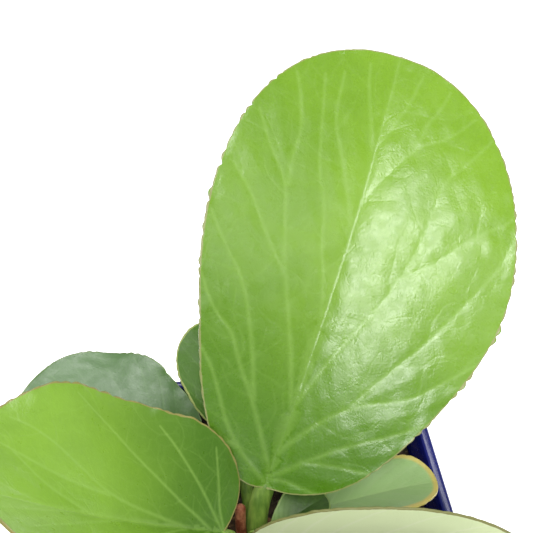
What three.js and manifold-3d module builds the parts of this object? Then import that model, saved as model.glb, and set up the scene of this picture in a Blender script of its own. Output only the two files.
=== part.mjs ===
// A young heartleaf bergenia in its square nursery pot.
// Millimetres, +Z up. The origin is the centre of the pot's underside.
import * as THREE from 'three';
import { mergeVertices } from 'three/addons/utils/BufferGeometryUtils.js';
import Module from 'manifold-3d';

const wasm = await Module();
wasm.setup();

// Pot
const POT_HEIGHT = 100;
const POT_RIM_HALF = 45;
const POT_LIP = 2.6;
const POT_RIM_BAND = 12;
const POT_BASE_HALF = 31;
const POT_WALL = 1.3;
const POT_FLOOR = 2;
const POT_CORNER_TOP = 9;
const POT_CORNER_BASE = 7;
const DRAIN_RADIUS = 4;
const DRAIN_OFFSET = 18;
const CORNER_STEPS = 5;

// Soil
const SOIL_TOP = 91;
const SOIL_GAP = 0.35;
const SOIL_LUMP = 1.1;
const SOIL_SIDE_STEPS = 4;
const ROOT_HOLE_RADIUS = 10.6;
const ROOT_HOLE_FLOOR = 66;

// Rhizome
const RHIZOME_RADIUS = 9.4;
const RHIZOME_TOP = 94.5;
const RHIZOME_SCAR = 0.7;
const SEAT_GAP = 0.32;
const SEAT_FLOOR = 88.5;

// Leaves
const BLADE_THICKNESS = 0.95;
const MARGIN_THICKNESS = 0.62;
const LOBE_START = 0.7;
const VEIN_RISE = 0.42;
const FRAME_STEPS = 48;
const STALK_SIDES = 8;

// A leaf's midrib leaves the junction at its heading (0 is +Y, 90 is +X) and climb, in degrees.
// Pairs are for the left and the right half, seen from above with the tip pointing away.
const LEAVES = [
  {
    name: 'leaf_tall', foot: [1.6, 1.4], junction: [3.44, 2.29, 110], lead: 0.25, heading: 41.4, climb: 54.3, roll: 18.3,
    length: 97.9, half: [31.2, 35.7], full: [0.72, 1.02], waist: [0, 0.14], lobe: [4.9, -0.8],
    arch: 24.5, sway: -6.1, twist: 9.5, fold: [20.7, 5.2], foldTip: [6, 4], cup: [6, -6],
    wave: 0.8, waves: 1.5, phase: 0, stalk: [2.5, 2.1], tooth: 0.4, quilt: 0.5, veins: 4.5,
    stations: 48, cross: 4, colour: 0x7fae3f, roughness: 0.42,
  },
  {
    name: 'leaf_left', foot: [-6, -4.4], junction: [-6.09, -9.37, 111.9], lead: 0.25, heading: -112.3, climb: 37.7, roll: 4.2,
    length: 60.3, half: [28.9, 26.1], full: [0.74, 0.98], waist: [0.2, -0.12], lobe: [0, 6.6],
    arch: -12.7, sway: -2.5, twist: 0, fold: [12, 45.1], foldTip: [5, 5], cup: [6, 6],
    wave: 2.25, waves: 1.5, phase: 0.63, stalk: [2.2, 1.8], tooth: 0.35, quilt: 0.4, veins: 4,
    stations: 40, cross: 3, colour: 0x74a238, roughness: 0.42,
  },
  {
    name: 'leaf_back_left', foot: [-6.4, 4.2], junction: [-14, 15.8, 105.6], heading: -71, climb: 18.4, roll: 5.7,
    length: 39, half: [19, 22.5], full: [0.7, 0.88], waist: [0, -0.1], lobe: [2, 5],
    arch: 12, sway: 0, twist: 0, fold: [8, 10], foldTip: [5, 5], cup: [6, 4],
    wave: 1, waves: 1.6, phase: 3.5, stalk: [2, 1.6], tooth: 0.3, quilt: 0.35, veins: 3.5,
    stations: 28, cross: 3, colour: 0x527d3c, roughness: 0.38,
  },
  {
    name: 'leaf_small_back', foot: [1, 8], junction: [0.25, 19.25, 108.2], heading: 7.7, climb: 48.5, roll: -7.9,
    length: 27, half: [15.4, 15.4], full: [0.72, 0.75], waist: [0, 0], lobe: [1.5, 1.5],
    arch: 15, sway: 0, twist: 0, fold: [16, 16], foldTip: [5, 5], cup: [8, 8],
    wave: 0.5, waves: 1.5, phase: 0, stalk: [1.6, 1.3], tooth: 0.25, quilt: 0.25, veins: 3,
    stations: 20, cross: 3, colour: 0x4f7a35, roughness: 0.42,
  },
  {
    name: 'leaf_low_right', foot: [8, 1.8], junction: [14, 2, 100.2], heading: 89.2, climb: 16.6, roll: -11.4,
    length: 28, half: [9.8, 8.8], full: [0.61, 0.72], waist: [0, 0], lobe: [1, 1],
    arch: 8, sway: 0, twist: 0, fold: [12, 14], foldTip: [5, 5], cup: [5, 8],
    wave: 0.4, waves: 1.5, phase: 0, stalk: [1.6, 1.3], tooth: 0.25, quilt: 0.25, veins: 3,
    stations: 22, cross: 3, colour: 0x86a85c, roughness: 0.45,
  },
  {
    name: 'leaf_young_right', foot: [5, -3.2], junction: [5.2, -3.4, 101.5], heading: 66, climb: 24, roll: 0,
    length: 13.5, half: [5.6, 5.6], full: [0.75, 0.75], waist: [0, 0], lobe: [0.5, 0.5],
    arch: 15, sway: 0, twist: 0, fold: [38, 38], foldTip: [10, 10], cup: [5, 5],
    wave: 0.2, waves: 1, phase: 0, stalk: [1.2, 0.9], tooth: 0.12, quilt: 0.1, veins: 3,
    stations: 14, cross: 2, colour: 0xa9c47a, roughness: 0.5,
  },
  {
    name: 'leaf_front', foot: [-0.6, -7.6], junction: [0.8, -7.3, 100], heading: 98, climb: 4.1, roll: 0,
    length: 56, half: [11, 18.85], full: [1, 1.13], waist: [0, 0], lobe: [0.5, 2.2],
    arch: 5, sway: 0, twist: 0, fold: [80, 84.4], foldTip: [80, 80], cup: [3, 3],
    wave: 0.4, waves: 1.5, phase: 0, stalk: [2, 1.6], tooth: 0.25, quilt: 0.3, veins: 4,
    stations: 34, cross: 3, colour: 0xc4d59a, roughness: 0.55,
  },
];

// Old leaf stalk, broken off short
const OLD_STALK = { foot: [-1.5, -2.1], top: [-1.9, 0.2, 107.4], radius: 1.15 };

function rad(degrees) {
  return THREE.MathUtils.degToRad(degrees);
}

function clamp01(value) {
  return Math.min(1, Math.max(0, value));
}

/** A closed mesh from points and triangles, with shared vertices merged. */
function closedGeometry(points, triangles) {
  const geometry = new THREE.BufferGeometry();
  geometry.setAttribute('position', new THREE.Float32BufferAttribute(points.flatMap((p) => p.toArray()), 3));
  geometry.setIndex(triangles.flat());
  return dropSlivers(mergeVertices(geometry, 1e-4));
}

/** Removes triangles that use one vertex twice. */
function dropSlivers(geometry) {
  const index = geometry.index.array;
  const kept = [];
  for (let i = 0; i < index.length; i += 3) {
    const [a, b, c] = [index[i], index[i + 1], index[i + 2]];
    if (a !== b && b !== c && c !== a) {
      kept.push(a, b, c);
    }
  }
  geometry.setIndex(kept);
  return geometry;
}

/** Turns a closed geometry into a solid that can be cut and joined. */
function toSolid(geometry) {
  const bare = geometry.clone();
  bare.deleteAttribute('normal');
  bare.deleteAttribute('uv');
  const merged = mergeVertices(bare, 1e-4);
  return new wasm.Manifold(new wasm.Mesh({
    numProp: 3,
    vertProperties: new Float32Array(merged.attributes.position.array),
    triVerts: new Uint32Array(merged.index.array),
  }));
}

/** Turns a solid back into a geometry. */
function fromSolid(solid) {
  const mesh = solid.getMesh();
  const geometry = new THREE.BufferGeometry();
  geometry.setAttribute('position', new THREE.BufferAttribute(new Float32Array(mesh.vertProperties), 3));
  geometry.setIndex([...mesh.triVerts]);
  return geometry;
}

/** Skins a stack of rings with equal counts and caps both ends with a fan. */
function skin(rings) {
  const points = [];
  const triangles = [];
  const count = rings[0].length;
  for (const ring of rings) {
    points.push(...ring);
  }
  for (let r = 0; r < rings.length - 1; r += 1) {
    for (let i = 0; i < count; i += 1) {
      const a = r * count + i;
      const b = r * count + (i + 1) % count;
      triangles.push([a, b, b + count]);
      triangles.push([a, b + count, a + count]);
    }
  }
  for (const [ring, first, flip] of [[rings[0], 0, true], [rings.at(-1), (rings.length - 1) * count, false]]) {
    const hub = points.length;
    points.push(ring.reduce((sum, p) => sum.add(p), new THREE.Vector3()).divideScalar(count));
    for (let i = 0; i < count; i += 1) {
      const a = first + i;
      const b = first + (i + 1) % count;
      triangles.push(flip ? [hub, b, a] : [hub, a, b]);
    }
  }
  return closedGeometry(points, triangles);
}

/** Tapered round stalk along a path, one radius for each path point. */
function stalkGeometry(path, radii, sides) {
  const rings = [];
  let across = new THREE.Vector3(1, 0, 0);
  for (let i = 0; i < path.length; i += 1) {
    const ahead = path[Math.min(i + 1, path.length - 1)];
    const behind = path[Math.max(i - 1, 0)];
    const along = ahead.clone().sub(behind).normalize();
    across = across.clone().addScaledVector(along, -across.dot(along)).normalize();
    const other = along.clone().cross(across);
    const ring = [];
    for (let k = 0; k < sides; k += 1) {
      const angle = 2 * Math.PI * k / sides;
      ring.push(path[i].clone()
        .addScaledVector(across, radii[i] * Math.cos(angle))
        .addScaledVector(other, radii[i] * Math.sin(angle)));
    }
    rings.push(ring);
  }
  return skin(rings);
}

/** One leaf: a bent and waved blade, its midrib underneath and its stalk. */
class Leaf {
  constructor(shape) {
    Object.assign(this, shape);
    this.frames = this.midribFrames();
  }

  /** Frames along the midrib: place, direction, side and upward normal. */
  midribFrames() {
    const heading = rad(this.heading);
    const climb = rad(this.climb);
    let along = new THREE.Vector3(
      Math.sin(heading) * Math.cos(climb), Math.cos(heading) * Math.cos(climb), Math.sin(climb));
    let side = new THREE.Vector3(Math.cos(heading), -Math.sin(heading), 0);
    let up = side.clone().cross(along);
    side.applyAxisAngle(along, rad(this.roll));
    up.applyAxisAngle(along, rad(this.roll));
    let place = new THREE.Vector3(...this.junction);
    const frames = [{ place, along, side, up }];
    const step = this.length / FRAME_STEPS;
    for (let i = 0; i < FRAME_STEPS; i += 1) {
      let nextAlong = along.clone().applyAxisAngle(side, -rad(this.arch) / FRAME_STEPS);
      let nextUp = up.clone().applyAxisAngle(side, -rad(this.arch) / FRAME_STEPS);
      nextAlong = nextAlong.applyAxisAngle(nextUp, -rad(this.sway) / FRAME_STEPS);
      const nextSide = side.clone().applyAxisAngle(nextUp, -rad(this.sway) / FRAME_STEPS);
      nextSide.applyAxisAngle(nextAlong, rad(this.twist) / FRAME_STEPS);
      nextUp.applyAxisAngle(nextAlong, rad(this.twist) / FRAME_STEPS);
      place = place.clone().addScaledVector(along, step / 2).addScaledVector(nextAlong, step / 2);
      along = nextAlong;
      side = nextSide;
      up = nextUp;
      frames.push({ place, along, side, up });
    }
    return frames;
  }

  /** The midrib frame at a share of the blade's length. */
  frameAt(share) {
    const at = clamp01(share) * FRAME_STEPS;
    const i = Math.min(Math.floor(at), FRAME_STEPS - 1);
    const w = at - i;
    const [a, b] = [this.frames[i], this.frames[i + 1]];
    return {
      place: a.place.clone().lerp(b.place, w),
      along: a.along.clone().lerp(b.along, w),
      side: a.side.clone().lerp(b.side, w),
      up: a.up.clone().lerp(b.up, w),
    };
  }

  /** The flat outline: phi is 0 at the tip and pi at the notch, hand is -1 left and 1 right. */
  outline(phi, hand) {
    const k = hand < 0 ? 0 : 1;
    const lower = clamp01((phi / Math.PI - 0.45) / 0.55);
    const lobe = clamp01((phi / Math.PI - LOBE_START) / (1 - LOBE_START));
    const narrowing = 1 - this.waist[k] * Math.sin(Math.PI * lower) ** 2;
    const x = hand * this.half[k] * Math.sin(phi) * narrowing;
    const y = this.length * ((1 + Math.cos(phi)) / 2) ** this.full[k] - this.lobe[k] * Math.sin(Math.PI * lobe);
    return [x, y];
  }

  /** Low swells between the side veins, which leave the midrib and curve towards the tip. */
  swell(x, y) {
    const k = x < 0 ? 0 : 1;
    const a = Math.min(1, Math.abs(x) / this.half[k]);
    const course = y / this.length - VEIN_RISE * a ** 1.2;
    return -this.quilt * Math.cos(2 * Math.PI * this.veins * course) * Math.sin(Math.PI * a ** 0.8);
  }

  /** Bends a flat blade point into its place in the air. */
  bend(x, y) {
    const k = x < 0 ? 0 : 1;
    const hand = Math.sign(x);
    const share = clamp01(y / this.length);
    const frame = this.frameAt(share);
    const fold = rad(this.fold[k] * (1 - share) + this.foldTip[k] * share);
    const curl = rad(this.cup[k]) / this.half[k];
    const a = Math.abs(x);
    const out = (Math.sin(fold + curl * a) - Math.sin(fold)) / curl;
    let up = (Math.cos(fold) - Math.cos(fold + curl * a)) / curl;
    up += this.wave * (a / this.half[k]) ** 2 * Math.sin(2 * Math.PI * this.waves * share + this.phase + hand);
    return frame.place
      .addScaledVector(frame.along, Math.min(y, 0))
      .addScaledVector(frame.side, hand * out)
      .addScaledVector(frame.up, up + this.swell(x, y));
  }

  /** The blade as one closed sheet with scalloped edges. */
  bladeGeometry() {
    const columns = 2 * this.cross + 1;
    const middle = [];
    const spread = [];
    for (let i = 0; i <= this.stations; i += 1) {
      const phi = Math.PI * (1 - i / this.stations);
      const rib = this.length * (1 + Math.cos(phi)) / 2;
      for (let j = 0; j < columns; j += 1) {
        const u = (j - this.cross) / this.cross;
        const hand = u < 0 ? -1 : 1;
        const a = Math.abs(u);
        let [x, y] = this.outline(phi, hand);
        if (a === 1 && i > 0 && i < this.stations) {
          const push = 1 + (i % 2 ? 1 : -1) * this.tooth / this.half[hand < 0 ? 0 : 1];
          x *= push;
          y = rib + (y - rib) * push;
        }
        middle.push(this.bend(x * a, rib + (y - rib) * a ** 1.3));
        spread.push(a);
      }
    }
    const cells = [];
    for (let i = 0; i < this.stations; i += 1) {
      for (let j = 0; j < columns - 1; j += 1) {
        const a = i * columns + j;
        cells.push([a, a + 1, a + 1 + columns]);
        cells.push([a, a + 1 + columns, a + columns]);
      }
    }
    const normals = this.sheetNormals(middle, cells, columns);
    const points = [];
    for (const way of [1, -1]) {
      middle.forEach((p, n) => {
        const thick = THREE.MathUtils.lerp(BLADE_THICKNESS, MARGIN_THICKNESS, spread[n] ** 3);
        points.push(p.clone().addScaledVector(normals[n], way * thick / 2));
      });
    }
    const under = middle.length;
    const triangles = [];
    for (const [a, b, c] of cells) {
      triangles.push([a, b, c]);
      triangles.push([a + under, c + under, b + under]);
    }
    const edge = [];
    for (let i = 0; i <= this.stations; i += 1) {
      edge.push(i * columns + columns - 1);
    }
    for (let i = this.stations; i >= 0; i -= 1) {
      edge.push(i * columns);
    }
    for (let n = 0; n < edge.length; n += 1) {
      const a = edge[n];
      const b = edge[(n + 1) % edge.length];
      triangles.push([a, a + under, b + under]);
      triangles.push([a, b + under, b]);
    }
    return closedGeometry(points, triangles);
  }

  /** Upward normals of the sheet; the points that meet at the notch and at the tip share one. */
  sheetNormals(points, cells, columns) {
    const normals = points.map(() => new THREE.Vector3());
    for (const [a, b, c] of cells) {
      const face = points[b].clone().sub(points[a]).cross(points[c].clone().sub(points[a]));
      for (const n of [a, b, c]) {
        normals[n].add(face);
      }
    }
    for (const first of [0, points.length - columns]) {
      const shared = new THREE.Vector3();
      for (let j = 0; j < columns; j += 1) {
        shared.add(normals[first + j]);
      }
      for (let j = 0; j < columns; j += 1) {
        normals[first + j].copy(shared);
      }
    }
    return normals.map((n) => n.normalize());
  }

  /** The stalk's curve from the crown to the blade. */
  stalkCurve() {
    const foot = new THREE.Vector3(...this.foot, SEAT_FLOOR + SEAT_GAP);
    const first = this.frames[0];
    const end = new THREE.Vector3(...this.junction).addScaledVector(first.up, -0.8 * this.stalk[1]);
    const chord = foot.distanceTo(end);
    return new THREE.CubicBezierCurve3(
      foot,
      foot.clone().add(new THREE.Vector3(0, 0, 0.6 * chord)),
      end.clone().addScaledVector(first.along, -(this.lead ?? 0.5) * chord),
      end);
  }

  /** The stalk and the midrib as one tapering piece, grown by a margin for seats. */
  stalkSolid(margin = 0) {
    const curve = this.stalkCurve();
    const path = [];
    const radii = [];
    const steps = 6;
    for (let i = 0; i <= steps; i += 1) {
      const s = i / steps;
      path.push(curve.getPoint(s));
      radii.push(margin + THREE.MathUtils.lerp(this.stalk[0], this.stalk[1], s ** 0.7));
    }
    if (margin > 0) {
      path[0].z -= margin;
    } else {
      for (const share of [0.06, 0.16, 0.3, 0.46, 0.62, 0.78]) {
        const radius = THREE.MathUtils.lerp(this.stalk[1] * 0.86, 0.35, share / 0.78);
        const frame = this.frameAt(share);
        const sink = radius - 0.12;
        path.push(frame.place.addScaledVector(frame.up, this.swell(0, share * this.length) - sink));
        radii.push(radius);
      }
    }
    return toSolid(stalkGeometry(path, radii, STALK_SIDES));
  }

  /** The whole leaf as one body. */
  geometry() {
    return fromSolid(toSolid(this.bladeGeometry()).add(this.stalkSolid()));
  }
}

/** Points of a square with rounded corners, counter-clockwise; each side is split into equal steps. */
function roundedSquare(half, corner, z, sideSteps = 1) {
  const ring = [];
  for (let q = 0; q < 4; q += 1) {
    const turn = q * Math.PI / 2;
    const cx = (half - corner) * Math.SQRT2 * Math.cos(turn + Math.PI / 4);
    const cy = (half - corner) * Math.SQRT2 * Math.sin(turn + Math.PI / 4);
    for (let k = 0; k < CORNER_STEPS; k += 1) {
      const angle = turn + (k / (CORNER_STEPS - 1)) * Math.PI / 2;
      ring.push(new THREE.Vector3(cx + corner * Math.cos(angle), cy + corner * Math.sin(angle), z));
    }
    const end = ring.at(-1);
    const first = ring.at(-CORNER_STEPS);
    const next = new THREE.Vector3(-first.y, first.x, z);
    for (let k = 1; k < sideSteps; k += 1) {
      ring.push(end.clone().lerp(next, k / sideSteps));
    }
  }
  return ring;
}

/** Half width of the pot's inside at a height. */
function potInside(z) {
  const share = (z - POT_FLOOR) / (POT_HEIGHT - POT_FLOOR);
  return THREE.MathUtils.lerp(POT_BASE_HALF - POT_WALL, POT_RIM_HALF - POT_LIP, share);
}

/** Corner radius of the pot at a height. */
function potCorner(z) {
  return THREE.MathUtils.lerp(POT_CORNER_BASE, POT_CORNER_TOP, z / POT_HEIGHT);
}

/** The pot: a tapered square wall, a wider rim band with a rounded lip, and four drain holes. */
function potGeometry() {
  const under = POT_HEIGHT - POT_RIM_BAND;
  const level = (half, z, extra = 0) => roundedSquare(half, potCorner(z) + extra, z);
  const rings = [
    level(POT_BASE_HALF - 0.8, 0, -0.8),
    level(POT_BASE_HALF, 0.8),
    level(potInside(under) + POT_WALL, under, POT_WALL),
    level(POT_RIM_HALF - 0.4, under, 2),
    level(POT_RIM_HALF, under + 0.5, 2.4),
    level(POT_RIM_HALF, POT_HEIGHT - 0.7, 2.4),
    level(POT_RIM_HALF - 0.3, POT_HEIGHT - 0.2, 2.1),
    level(POT_RIM_HALF - 0.8, POT_HEIGHT, 1.6),
    level(POT_RIM_HALF - POT_LIP + 0.6, POT_HEIGHT, 0.6),
    level(POT_RIM_HALF - POT_LIP, POT_HEIGHT - 0.6),
    level(potInside(POT_FLOOR), POT_FLOOR, -POT_WALL),
  ];
  let solid = toSolid(skin(rings));
  for (const [sx, sy] of [[1, 1], [-1, 1], [-1, -1], [1, -1]]) {
    const drain = new THREE.CylinderGeometry(DRAIN_RADIUS, DRAIN_RADIUS, 4 * POT_FLOOR, 12);
    drain.rotateX(Math.PI / 2);
    drain.translate(sx * DRAIN_OFFSET, sy * DRAIN_OFFSET, POT_FLOOR / 2);
    solid = solid.subtract(toSolid(drain));
  }
  return fromSolid(solid);
}

/** A gentle unevenness of the soil at a place. */
function lump(x, y) {
  const a = Math.sin(0.31 * x + 1.3) * Math.cos(0.27 * y - 0.6);
  const b = Math.sin(0.73 * x - 0.52 * y + 2.1) * 0.5;
  const c = Math.cos(0.41 * y + 0.66 * x) * 0.4;
  return SOIL_LUMP * (a + b + c) / 1.5;
}

/** The soil: it fills the pot and has a plain hole for the rhizome. */
function soilGeometry() {
  const bottom = POT_FLOOR + SOIL_GAP;
  const foot = roundedSquare(potInside(bottom) - SOIL_GAP, POT_CORNER_BASE - POT_WALL, bottom, SOIL_SIDE_STEPS);
  const rim = roundedSquare(potInside(SOIL_TOP) - SOIL_GAP, potCorner(SOIL_TOP) - SOIL_GAP, SOIL_TOP, SOIL_SIDE_STEPS);
  const hole = rim.map((p) => {
    const angle = Math.atan2(p.y, p.x);
    return new THREE.Vector3(ROOT_HOLE_RADIUS * Math.cos(angle), ROOT_HOLE_RADIUS * Math.sin(angle), SOIL_TOP);
  });
  const rings = [foot, rim];
  for (const share of [0.1, 0.3, 0.5, 0.7, 0.88]) {
    rings.push(rim.map((p, i) => {
      const q = p.clone().lerp(hole[i], share);
      q.z += lump(q.x, q.y);
      return q;
    }));
  }
  rings.push(hole);
  rings.push(hole.map((p) => new THREE.Vector3(p.x, p.y, ROOT_HOLE_FLOOR)));
  return skin(rings);
}

/** The rhizome: a thick ringed stem with a seat for each stalk. */
function rhizomeGeometry(seats) {
  const rings = [];
  const foot = ROOT_HOLE_FLOOR + SEAT_GAP;
  const sides = 14;
  const levels = 11;
  for (let i = 0; i <= levels; i += 1) {
    const s = i / levels;
    const z = THREE.MathUtils.lerp(foot, RHIZOME_TOP, s);
    const dome = Math.sqrt(1 - 0.55 * clamp01((s - 0.84) / 0.16) ** 2);
    const heel = 1 - 0.3 * (1 - clamp01(s / 0.15)) ** 2;
    const ring = [];
    for (let k = 0; k < sides; k += 1) {
      const angle = 2 * Math.PI * k / sides;
      const scar = RHIZOME_SCAR * (i % 2) * (0.6 + 0.4 * Math.sin(2 * angle + i));
      const radius = (RHIZOME_RADIUS + scar) * dome * heel;
      ring.push(new THREE.Vector3(radius * Math.cos(angle), radius * Math.sin(angle), z));
    }
    rings.push(ring);
  }
  let solid = toSolid(skin(rings));
  for (const seat of seats) {
    solid = solid.subtract(seat);
  }
  return fromSolid(solid);
}

/** The old stalk, grown by a margin for its seat. */
function oldStalkGeometry(margin = 0) {
  const foot = new THREE.Vector3(...OLD_STALK.foot, SEAT_FLOOR + SEAT_GAP - margin);
  const top = new THREE.Vector3(...OLD_STALK.top);
  const path = [];
  const radii = [];
  for (const [s, share] of [[0, 1.15], [0.3, 1.05], [0.6, 1], [0.9, 1], [0.97, 0.8], [1, 0.35]]) {
    path.push(foot.clone().lerp(top, s));
    radii.push(OLD_STALK.radius * share + margin);
  }
  return stalkGeometry(path, radii, STALK_SIDES);
}

/** A named piece with its own colour and finish. */
function piece(name, geometry, colour, roughness) {
  geometry.computeVertexNormals();
  const material = new THREE.MeshStandardMaterial({ color: colour, roughness, metalness: 0 });
  const mesh = new THREE.Mesh(geometry, material);
  mesh.name = name;
  return mesh;
}

const leaves = LEAVES.map((shape) => new Leaf(shape));
const plant = new THREE.Group();
plant.add(piece('pot', potGeometry(), 0x131e75, 0.25));
plant.add(piece('soil', soilGeometry(), 0x2b1f17, 0.95));
const seats = leaves.map((leaf) => leaf.stalkSolid(SEAT_GAP));
seats.push(toSolid(oldStalkGeometry(SEAT_GAP)));
plant.add(piece('rhizome', rhizomeGeometry(seats), 0x5a3d28, 0.85));
plant.add(piece('old_stalk', oldStalkGeometry(), 0x7a4a33, 0.8));
for (const leaf of leaves) {
  plant.add(piece(leaf.name, leaf.geometry(), leaf.colour, leaf.roughness));
}

export default plant;
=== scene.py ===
"""Looks of the potted heartleaf bergenia, built round its CAD frame.

Shapes are worked out in millimetres in the row frame and turned into metres as a mesh is made.
"""

import logging
import math
from dataclasses import dataclass, field
from enum import Enum
from typing import Any, Callable

import bpy
import numpy as np
from bpy.types import Material, Node, NodeSocket, NodeTree, Object
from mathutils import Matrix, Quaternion, Vector


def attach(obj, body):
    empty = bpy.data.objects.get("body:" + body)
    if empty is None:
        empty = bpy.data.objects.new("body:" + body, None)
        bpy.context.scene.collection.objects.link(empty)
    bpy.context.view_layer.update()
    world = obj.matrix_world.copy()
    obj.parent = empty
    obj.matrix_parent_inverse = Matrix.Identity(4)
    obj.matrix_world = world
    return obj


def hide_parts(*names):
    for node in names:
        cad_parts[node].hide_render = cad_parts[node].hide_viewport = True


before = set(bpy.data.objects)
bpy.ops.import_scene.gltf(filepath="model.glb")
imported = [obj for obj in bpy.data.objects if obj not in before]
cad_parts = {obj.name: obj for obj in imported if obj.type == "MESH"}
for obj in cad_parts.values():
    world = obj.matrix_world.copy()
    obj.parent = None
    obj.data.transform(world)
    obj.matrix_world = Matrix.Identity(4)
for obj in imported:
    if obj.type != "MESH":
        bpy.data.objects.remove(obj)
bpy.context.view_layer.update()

Array = np.ndarray
LOG = logging.getLogger("bergenia")
MM = 0.001
SEED = 20417
UV_SPAN = 100.0
FRAME_STEPS = 48
LOBE_START = 0.7
VEIN_REACH = 14.0
FAR_AWAY = 1e9
WELD = 2e-6
BLADE_THICK = 0.9
MARGIN_SHARE = 0.55
MARGIN_BAND = 6.0
WEIGHT_STEPS = 10
SHEATH_THICK = 0.45
STALK_FOOT = 88.82
POT_HEIGHT = 100
SOIL_LEVEL = 91
SOIL_GAP = 0.35
CROWN_CLEAR = 13
HOLE_REACH = 18


class VeinSource(Enum):
    """Where a leaf takes the courses of its main veins from."""

    TRACED = "traced"
    GROWN = "grown"


class Side(Enum):
    """Material slots of a blade."""

    UPPER = 0
    UNDER = 1


def colour(code: int) -> tuple[float, float, float, float]:
    """Turns a colour of 0xRRGGBB into the linear colour that a shader takes."""
    parts = [((code >> shift) & 255) / 255 for shift in (16, 8, 0)]
    linear = [p / 12.92 if p <= 0.04045 else ((p + 0.055) / 1.055) ** 2.4 for p in parts]
    return (linear[0], linear[1], linear[2], 1.0)


def unit(vector: Array) -> Array:
    """Scales vectors in the last axis to length one."""
    return vector / np.maximum(np.linalg.norm(vector, axis=-1, keepdims=True), 1e-12)


def turn(vector: Array, axis: Array, angle: float) -> Array:
    """Turns a vector about an axis by an angle in radians."""
    pole = unit(axis)
    across = np.cross(pole, vector)
    kept = pole * (pole @ vector) * (1 - math.cos(angle))
    return vector * math.cos(angle) + across * math.sin(angle) + kept


def ripple(points: Array, seed: int, waves: int = 10, spread: float = 1.0) -> Array:
    """Smooth seeded noise as a sum of waves.

    Args:
        points: Array (..., 2 or 3) of places.
        seed: Seed of the wave directions.
        waves: Number of waves.
        spread: Shortest wave length in the units of the points.

    Returns:
        Values of about -1 to 1.
    """
    rng = np.random.default_rng(seed)
    heading = unit(rng.normal(size=(waves, points.shape[-1])))
    pace = 2 * math.pi / (spread * rng.uniform(1.0, 3.2, waves))
    shift = rng.uniform(0, 2 * math.pi, waves)
    total = np.zeros(points.shape[:-1])
    for k in range(waves):
        total += np.sin(points @ heading[k] * pace[k] + shift[k])
    return total / math.sqrt(waves)


def curve(t: Array, start: Array, near: Array, far: Array, end: Array) -> Array:
    """Points of a smooth curve at shares t, drawn towards near and then far."""
    rest = 1 - t
    return start * rest**3 + 3 * near * t * rest**2 + 3 * far * t * t * rest + end * t**3


def select_only(obj: Object) -> None:
    """Makes an object the one selected and active object."""
    bpy.ops.object.select_all(action="DESELECT")
    obj.select_set(True)
    bpy.context.view_layer.objects.active = obj


def join(pieces: list[Object], name: str) -> Object:
    """Joins pieces into the first of them and names it."""
    bpy.ops.object.select_all(action="DESELECT")
    for piece in pieces:
        piece.select_set(True)
    bpy.context.view_layer.objects.active = pieces[0]
    if len(pieces) > 1:
        bpy.ops.object.join()
    pieces[0].name = name
    pieces[0].data.name = name
    return pieces[0]


def thicken(obj: Object, thickness: float, **settings: Any) -> None:
    """Gives a sheet a thickness in millimetres, half of it on each side."""
    select_only(obj)
    shell = obj.modifiers.new("shell", "SOLIDIFY")
    shell.thickness = thickness * MM
    shell.offset = 0.0
    for key, value in settings.items():
        setattr(shell, key, value)
    bpy.ops.object.modifier_apply(modifier=shell.name)


def around(radius: Any, angle: Array, rise: Array) -> Array:
    """Places at radii and angles round the upright axis."""
    flat = radius * np.cos(angle), radius * np.sin(angle)
    return np.stack(np.broadcast_arrays(*flat, rise), -1)


@dataclass
class GridSheet:
    """A grid object whose vertices are known by row and column."""

    obj: Object
    row: Array
    column: Array

    @classmethod
    def add(cls, name: str, points: Array) -> "GridSheet":
        """Adds a grid and moves its vertices onto given points.

        Args:
            name: Name of the object.
            points: Array (rows, columns, 3) in millimetres.

        Returns:
            The sheet, its UV running 0 to 1 over columns and rows.
        """
        rows, columns = points.shape[:2]
        bpy.ops.object.select_all(action="DESELECT")
        bpy.ops.mesh.primitive_grid_add(x_subdivisions=columns - 1, y_subdivisions=rows - 1, size=2)
        obj = bpy.context.object
        obj.name = name
        obj.data.name = name
        start = np.zeros(len(obj.data.vertices) * 3)
        obj.data.vertices.foreach_get("co", start)
        start = start.reshape(-1, 3)
        column = np.rint((start[:, 0] + 1) / 2 * (columns - 1)).astype(int)
        row = np.rint((start[:, 1] + 1) / 2 * (rows - 1)).astype(int)
        obj.data.vertices.foreach_set("co", (points[row, column] * MM).reshape(-1))
        obj.data.update()
        return cls(obj, row, column)

    def note(self, name: str, values: Array) -> None:
        """Writes values (rows, columns) as a named point attribute."""
        made = self.obj.data.attributes.new(name, "FLOAT", "POINT")
        made.data.foreach_set("value", values[self.row, self.column].astype(np.float32))

    def lay_uv(self, flat: Array) -> None:
        """Writes flat places (rows, columns, 2) in millimetres as the UV map."""
        mesh = self.obj.data
        corner = np.zeros(len(mesh.loops), int)
        mesh.loops.foreach_get("vertex_index", corner)
        values = flat[self.row, self.column][corner] / UV_SPAN
        mesh.uv_layers.active.data.foreach_set("uv", values.reshape(-1))

    def close(self, outward: bool = True) -> Object:
        """Merges seams and poles and smooths the faces."""
        select_only(self.obj)
        bpy.ops.object.mode_set(mode="EDIT")
        bpy.ops.mesh.select_all(action="SELECT")
        bpy.ops.mesh.remove_doubles(threshold=WELD)
        if outward:
            bpy.ops.mesh.normals_make_consistent(inside=False)
        bpy.ops.object.mode_set(mode="OBJECT")
        bpy.ops.object.shade_smooth()
        return self.obj


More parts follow.
